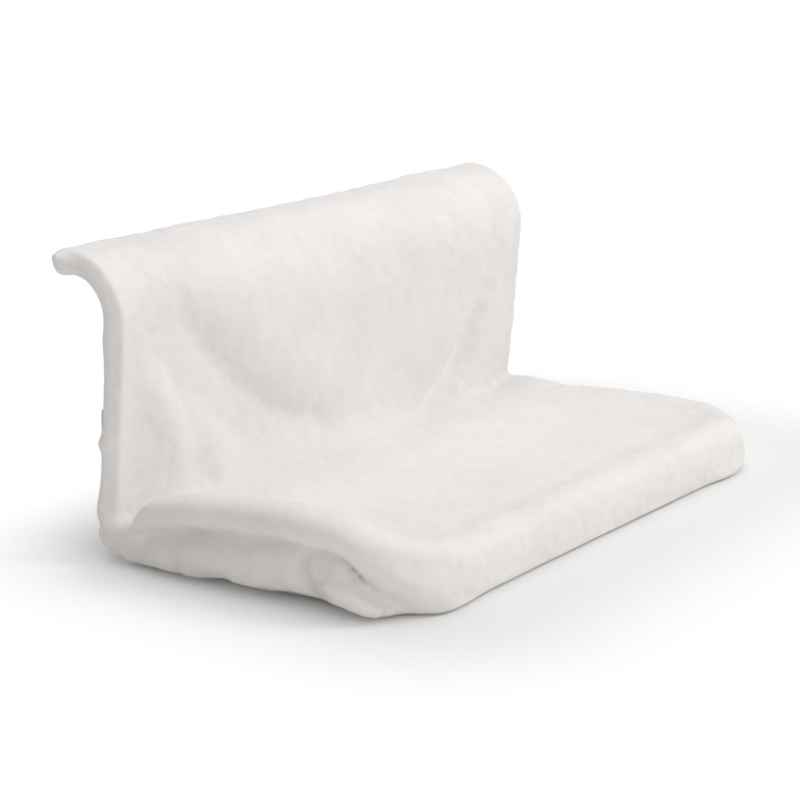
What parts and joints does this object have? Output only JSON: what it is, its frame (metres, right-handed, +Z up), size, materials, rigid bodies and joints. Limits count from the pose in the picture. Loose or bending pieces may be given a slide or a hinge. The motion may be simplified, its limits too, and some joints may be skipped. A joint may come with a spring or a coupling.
{
  "type": "radiator cat hammock",
  "caption": "Plush cat bed on an L-shaped tube frame: padded seat, back curved over at the top, and adjustable slotted hooks behind that hang it from a panel radiator.",
  "frame": {"origin": "middle of the bounding box at its underside, the plane that the seat's underside lies on", "axes": "+X to the right across the hammock, +Y towards the radiator, -Y is the front of the seat, +Z up, as it hangs"},
  "size_m": [0.455, 0.3078, 0.1843],
  "materials": {
    "plush": "long-pile polyester plush, off-white",
    "wadding": "bonded polyester wadding",
    "lining_cloth": "plain-weave polyester lining, off-white",
    "closure_tape": "hook and loop tape, white",
    "webbing": "woven polyester webbing, white",
    "frame_coating": "white powder coat on steel tube",
    "hook_coating": "white powder coat on folded and flat steel",
    "zinc_steel": "zinc-plated steel",
    "nickel_brass": "nickel-plated eyelet",
    "pad_rubber": "moulded grey rubber, matt",
    "sleeve_vinyl": "dip-moulded white vinyl, soft satin",
    "plug_plastic": "moulded polyethylene, white"
  },
  "bodies": {
    "frame": {"lower_frame_tube": "frame_coating", "left_side_tube": "frame_coating", "right_side_tube": "frame_coating", "top_bar": "frame_coating", "top_bar_plugs": "plug_plastic", "tie_bar": "frame_coating", "rear_cross_bar": "frame_coating", "leg_joint_screws": "zinc_steel", "leg_joint_nuts": "zinc_steel", "clamp_washers": "zinc_steel", "bumper_screws": "zinc_steel", "lining_eyelets": "nickel_brass", "top_hem_roll": "plush", "back_plush_panel": "plush", "left_side_sleeve": "plush", "right_side_sleeve": "plush", "left_bolster": "plush", "front_roll": "plush", "seat_plush_panel": "plush", "seat_padding": "wadding", "seat_lining": "lining_cloth", "back_lining": "lining_cloth", "closure_loop_strip": "closure_tape", "closure_hook_strip": "closure_tape", "crook_tie": "webbing", "hook_rail_left": "hook_coating", "rail_pad_left": "pad_rubber", "clamp_bolt_left": "zinc_steel", "bumper_left": "pad_rubber", "left_edge_sleeve": "plush", "hook_rail_right": "hook_coating", "rail_pad_right": "pad_rubber", "clamp_bolt_right": "zinc_steel", "bumper_right": "pad_rubber", "right_edge_sleeve": "plush"},
    "hook_left": {"radiator_hook_left": "hook_coating", "hook_sleeve_left": "sleeve_vinyl"},
    "wing_nut_left": {"wing_nut_left": "zinc_steel"},
    "hook_right": {"radiator_hook_right": "hook_coating", "hook_sleeve_right": "sleeve_vinyl"},
    "wing_nut_right": {"wing_nut_right": "zinc_steel"}
  },
  "joints": [
    {"name": "hook_slide_left", "type": "slide", "parent": "frame", "child": "hook_left", "axis": [0, 1, 0], "range_m": [0, 0.04]},
    {"name": "wing_nut_turn_left", "type": "hinge", "parent": "frame", "child": "wing_nut_left", "pos_m": [-0.095, 0.12359, 0.1615], "axis": [0, 0, 1], "range_deg": [0, 540]},
    {"name": "hook_slide_right", "type": "slide", "parent": "frame", "child": "hook_right", "axis": [0, 1, 0], "range_m": [0, 0.04]},
    {"name": "wing_nut_turn_right", "type": "hinge", "parent": "frame", "child": "wing_nut_right", "pos_m": [0.095, 0.12359, 0.1615], "axis": [0, 0, 1], "range_deg": [0, 540]}
  ]
}
